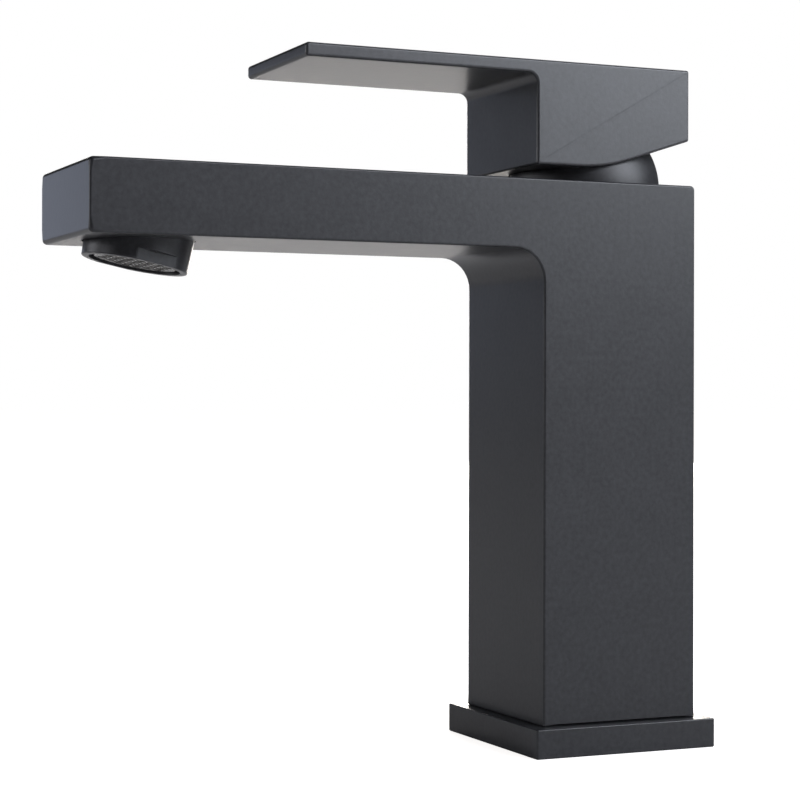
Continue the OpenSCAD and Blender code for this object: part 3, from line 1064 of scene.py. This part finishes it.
@dataclass(frozen=True)
class IndexCap(Finish):
    """The rear cap's black plastic with a red half and a blue half in its middle."""

    name: str
    centre: Vector
    dot_r: float = 1.8 * MM
    black: Colour = (0.02, 0.02, 0.022)
    red: Colour = (0.45, 0.02, 0.015)
    blue: Colour = (0.02, 0.06, 0.4)
    grain: float = 1200.0
    relief: float = 0.06
    smooth: float = 0.22
    rough: float = 0.32

    def wire(self, net: Net, surface_node: bpy.types.Node) -> None:
        """Wires the two-coloured dot: distance from the cap's middle, and the side of it.

        Args:
            net: The material's node tree.
            surface_node: Its Principled BSDF.
        """
        place = net.add("ShaderNodeTexCoord").outputs["Object"]
        offset = net.add("ShaderNodeVectorMath", {"operation": "SUBTRACT"})
        net.feed(offset, 0, place)
        net.feed(offset, 1, self.centre)
        split = net.add("ShaderNodeSeparateXYZ", Vector=offset.outputs[0])
        flat = net.add("ShaderNodeCombineXYZ", X=split.outputs["X"], Z=split.outputs["Z"])
        length = net.add("ShaderNodeVectorMath", {"operation": "LENGTH"})
        net.feed(length, 0, flat.outputs[0])
        inside = net.maths("LESS_THAN", length.outputs["Value"], self.dot_r)
        side = net.maths("GREATER_THAN", split.outputs["X"], 0.0)
        halves = net.blend(side, self.red, self.blue)
        net.feed(surface_node, "Base Color", net.blend(inside, self.black, halves))
        grain = net.add("ShaderNodeGroup", {"node_tree": speckle_group()}, Grain=self.grain,
                        Relief=self.relief)
        net.feed(surface_node, "Roughness", net.spread(grain.outputs["Speckle"], self.smooth, self.rough))
        net.feed(surface_node, "Normal", grain.outputs["Normal"])


@dataclass(frozen=True)
class Floor(Finish):
    """The studio's plain pale floor, a sheet with light coming through it.

    Args:
        name: Name of the material.
        seen: Its own light where it is looked at, near the tap.
        seen_far: Its own light where it is looked at, further off.
        near: Its own light on the tap, from the sheet under and around it.
        far: Its own light on the tap, from the sheet further off.
        turn_start: Distance from the tap where near starts to turn into far.
        turn_end: Distance where it has become far.
        pale: Its darker colour.
        paler: Its lighter colour.
        glow: Colour of its own light.
        rough: Its roughness.
        specular: Its specular level.
    """

    name: str = "pale_floor"
    seen: float = 0.9
    seen_far: float = 1.0
    near: float = 0.0
    far: float = 0.03
    turn_start: float = 0.6
    turn_end: float = 1.2
    pale: Colour = (0.78, 0.775, 0.77)
    paler: Colour = (0.82, 0.815, 0.81)
    glow: Colour = (1.0, 0.985, 0.97)
    rough: float = 0.75
    specular: float = 0.2

    def wire(self, net: Net, surface_node: bpy.types.Node) -> None:
        """Wires a pale sheet with a faint unevenness, and the light that comes through it.

        Args:
            net: The material's node tree.
            surface_node: Its Principled BSDF.
        """
        grain = net.add("ShaderNodeGroup", {"node_tree": speckle_group()}, Grain=60.0, Tone=3.0, Relief=0.0)
        net.feed(surface_node, "Base Color", net.blend(grain.outputs["Tone"], self.pale, self.paler))
        net.feed(surface_node, "Roughness", self.rough)
        net.feed(surface_node, "Specular IOR Level", self.specular)
        net.feed(surface_node, "Emission Color", (*self.glow, 1.0))
        place = net.add("ShaderNodeTexCoord").outputs["Object"]
        away = net.add("ShaderNodeVectorMath", {"operation": "LENGTH"})
        net.feed(away, 0, place)
        on_tap, looked_at = (
            net.add("ShaderNodeMapRange", {"interpolation_type": "SMOOTHSTEP"}, Value=away.outputs["Value"],
                    From_Min=self.turn_start, From_Max=self.turn_end, To_Min=near, To_Max=far)
            for near, far in ((self.near, self.far), (self.seen, self.seen_far)))
        camera_ray = net.add("ShaderNodeLightPath").outputs["Is Camera Ray"]
        light = net.add("ShaderNodeMix", {"data_type": "FLOAT"})
        net.feed(light, 0, camera_ray)
        net.feed(light, 2, on_tap.outputs[0])
        net.feed(light, 3, looked_at.outputs[0])
        net.feed(surface_node, "Emission Strength", light.outputs[0])


FOAM_RUBBER = Moulded("foam_rubber", (0.022, 0.022, 0.022), (0.035, 0.035, 0.035), 0.8, 1800, 0.8)
SEAL_RUBBER = Moulded("seal_rubber", (0.012, 0.012, 0.012), (0.02, 0.02, 0.02), 0.5, 900, 0.15)
WHITE_ACETAL = Moulded("white_acetal", (0.66, 0.66, 0.62), (0.76, 0.76, 0.72), 0.4, 700, 0.1, 0.05)
IVORY_ACETAL = Moulded("ivory_acetal", (0.7, 0.67, 0.57), (0.79, 0.76, 0.66), 0.42, 700, 0.1, 0.05)
BLUE_ACETAL = Moulded("blue_acetal", (0.04, 0.12, 0.34), (0.06, 0.17, 0.44), 0.42, 700, 0.1)
GREY_ACETAL = Moulded("grey_acetal", (0.42, 0.43, 0.45), (0.5, 0.51, 0.53), 0.42, 700, 0.1)
GREY_PLASTIC = Moulded("grey_plastic", (0.125, 0.12, 0.11), (0.165, 0.158, 0.145), 0.26, 900, 0.05)
ALUMINA = Moulded("alumina", (0.8, 0.79, 0.76), (0.88, 0.87, 0.84), 0.16, 1600, 0.02)
BLUE_ALUMINA = Moulded("alumina_blue", (0.66, 0.7, 0.78), (0.74, 0.78, 0.86), 0.16, 1600, 0.02)
TURNED_BRASS = Turned("turned_brass", (0.62, 0.43, 0.17), (0.8, 0.6, 0.28), 0.24)
PIN_STEEL = Turned("steel_pin", (0.5, 0.5, 0.51), (0.64, 0.64, 0.65), 0.2, 9000)
SCREEN_STEEL = Turned("screen_steel", (0.42, 0.42, 0.43), (0.6, 0.6, 0.61), 0.32, 4000)

CASTING_COAT = Coat("black_coat")
PLATE_COAT = Coat("plate_coat")
DOME_COAT = Coat("dome_coat", rough=0.42, relief=0.1)
# Painted light: the handle wears the casting's black paint, drawn lighter here to stand in for the brighter
# light on its side; the broad clouds are the coat's own uneven tone.
LIGHTENED_HANDLE_COAT = Coat("handle_coat_painted_light", (0.0195, 0.0196, 0.0215), (0.038, 0.0383, 0.042), tone=0.4,
                   specular=0.63)
COLLAR_COAT = Coat("collar_satin", rough=0.35, relief=0.04)

INNER_FINISHES: dict[str, Finish] = {
    "deck_gasket": FOAM_RUBBER,
    "cartridge_base": WHITE_ACETAL,
    "slip_washer": WHITE_ACETAL,
    "inlet_seals": SEAL_RUBBER,
    "disc_seal": SEAL_RUBBER,
    "housing_ring": SEAL_RUBBER,
    "rotor_ring": SEAL_RUBBER,
    "aerator_seal": SEAL_RUBBER,
    "fixed_disc": ALUMINA,
    "moving_disc": BLUE_ALUMINA,
    "cartridge_housing": IVORY_ACETAL,
    "disc_carrier": BLUE_ACETAL,
    "rotor": GREY_ACETAL,
    "retaining_nut": TURNED_BRASS,
    "lever_spindle": TURNED_BRASS,
    "pivot_pin": PIN_STEEL,
    "set_screw": PIN_STEEL,
    "aerator_screen": SCREEN_STEEL,
    "aerator_diffuser": GREY_PLASTIC,
    "aerator_insert": GREY_PLASTIC,
}


# ---- stage -------------------------------------------------------------------------------------


@dataclass(frozen=True)
class Softbox:
    """A square studio light that faces the tap.

    Args:
        name: Name of the light.
        bearing: Its direction from the tap, in degrees from +X towards +Y.
        height: Its direction above the deck, in degrees.
        power: Power, in watts.
        width: Width of its face.
        tall: Height of its face.
        distance: Its distance from the tap's middle.
        colour: Colour of its light.
    """

    name: str
    bearing: float
    height: float
    power: float
    width: float
    tall: float
    distance: float
    colour: Colour

    def build(self, target: Vector) -> bpy.types.Object:
        """Hangs the light and turns it towards the target.

        Args:
            target: The place that it faces.

        Returns:
            The light.
        """
        data = bpy.data.lights.new(self.name, "AREA")
        data.shape = "RECTANGLE"
        data.size = self.width
        data.size_y = self.tall
        data.energy = self.power
        data.color = self.colour
        light = bpy.data.objects.new(self.name, data)
        b, h = math.radians(self.bearing), math.radians(self.height)
        away = Vector((math.cos(h) * math.cos(b), math.cos(h) * math.sin(b), math.sin(h)))
        light.location = target + away * self.distance
        light.rotation_euler = away.to_track_quat("Z", "Y").to_euler()
        light.visible_camera = False
        bpy.context.scene.collection.objects.link(light)
        return light


@dataclass
class Studio:
    """The pale floor, the soft lights, the white surround and the camera."""

    target: Vector = field(default_factory=lambda: Vector((0, -0.045, 0.09)))
    floor_size: float = 40.0
    surround: float = 0.035
    camera_place: Vector = field(default_factory=lambda: Vector((471.9, -259.4, 85.9)) * MM)
    camera_turn: float = math.radians(66.09)
    camera_pitch: float = math.radians(-0.07)
    camera_roll: float = math.radians(0.12)
    lens: float = 94.29
    lights: tuple[Softbox, ...] = (
        Softbox("key_right", 30, 30, 27, 1.9, 1.1, 2.5, (0.95, 0.97, 1.07)),
        Softbox("side_right", 60, 20, 3.7, 1.9, 1.1, 2.5, (0.95, 0.97, 1.07)),
        Softbox("close_right", 47, 22, 5.1, 0.75, 0.5, 1.0, (0.93, 0.99, 1.07)),
        Softbox("low_back", 160, 6, 29, 1.2, 0.5, 2.5, (1.06, 1.0, 0.93)),
        Softbox("low_left", 180, 6, 2.8, 2.0, 0.5, 2.5, (0.86, 0.95, 1.19)),
        Softbox("low_front", 240, 8, 8.2, 1.2, 0.5, 2.5, (0.97, 0.98, 1.04)),
        Softbox("fill_front", 275, 15, 4, 1.2, 0.8, 2.5, (0.97, 0.98, 1.04)),
        Softbox("top_back", 130, 42, 12, 1.6, 1.2, 2.5, (0.97, 0.98, 1.04)),
    )

    def build(self) -> None:
        """Sets up the whole stage."""
        self.build_floor()
        self.build_surround()
        self.build_camera()
        for light in self.lights:
            light.build(self.target)
        bpy.context.scene.view_settings.view_transform = "Standard"

    def build_floor(self) -> None:
        """Lays the floor at the height that the deck plate stands on."""
        side = np.array([-0.5, 0.5]) * self.floor_size
        x, y = np.meshgrid(side, side, indexing="ij")
        points = np.stack([x, y, np.zeros_like(x)], axis=2).reshape(-1, 3)
        mesh = bpy.data.meshes.new("floor")
        mesh.from_pydata(points.tolist(), [], [[0, 2, 3, 1]])
        floor = bpy.data.objects.new("floor", mesh)
        bpy.context.scene.collection.objects.link(floor)
        Floor().dress(floor)

    def build_surround(self) -> None:
        """Makes the surround: white where it is seen, and a dim even light on the tap."""
        world = bpy.data.worlds.new("surround")
        bpy.context.scene.world = world
        world.use_nodes = True
        net = Net(world.node_tree)
        background = net.tree.nodes["Background"]
        seen = net.add("ShaderNodeLightPath").outputs["Is Camera Ray"]
        net.feed(background, "Color", (1.0, 1.0, 1.0, 1.0))
        net.feed(background, "Strength", net.spread(seen, self.surround, 1.0))

    def build_camera(self) -> None:
        """Places the camera, level with the tap's middle, to the front and side of it."""
        data = bpy.data.cameras.new("camera")
        data.lens = self.lens
        data.sensor_width = 36.0
        data.clip_start = 0.01
        data.clip_end = 100.0
        camera = bpy.data.objects.new("camera", data)
        turn = Matrix.Rotation(self.camera_turn, 4, "Z")
        tilt = Matrix.Rotation(math.pi / 2 - self.camera_pitch, 4, "X")
        roll = Matrix.Rotation(self.camera_roll, 4, "Z")
        camera.matrix_world = Matrix.Translation(self.camera_place) @ turn @ tilt @ roll
        bpy.context.scene.collection.objects.link(camera)
        bpy.context.scene.camera = camera


# ---- assembly ----------------------------------------------------------------------------------


def stand_for(piece: bpy.types.Object, node: str, body: str, finish: Finish) -> None:
    """Dresses a new piece and lets it stand for its CAD node.

    Args:
        piece: The new piece.
        node: The CAD node that it replaces.
        body: The body that it rides on.
        finish: Its finish.
    """
    finish.dress(piece)
    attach(piece, body)
    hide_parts(node)
    LOG.info("%s stands for %s: %d faces", piece.name, node, len(piece.data.polygons))


def dress_inner_pieces() -> None:
    """Gives every CAD node that stays its finish."""
    for node, finish in INNER_FINISHES.items():
        finish.dress(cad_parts[node])
        LOG.info("%s dressed in %s", node, finish.name)


def main() -> None:
    """Builds the tap's visible pieces, dresses the inner ones and sets the stage."""
    logging.basicConfig(level=logging.INFO, format="%(name)s: %(message)s")
    layout = Layout()
    stand_for(BodyCasting(layout).build(), "body", "tap_body", CASTING_COAT)
    stand_for(DeckPlate(layout).build(), "deck_plate", "tap_body", PLATE_COAT)
    stand_for(DomeCover(layout).build(), "dome_cover", "tap_body", DOME_COAT)
    handle = Handle(layout)
    stand_for(handle.build(), "handle", "lever", LIGHTENED_HANDLE_COAT)
    cap = ScrewCap(layout, handle.cap_floor() + CAP_PLAY)
    cap_centre = layout.frame_of(Axis.SCREW) @ Vector((0, 0, cap.seat))
    stand_for(cap.build(), "screw_cap", "lever", IndexCap("index_cap", cap_centre))
    stand_for(Aerator(layout).collar(), "aerator_housing", "tap_body",
              COLLAR_COAT)
    dress_inner_pieces()
    Studio().build()


if __name__ == "__main__":
    main()
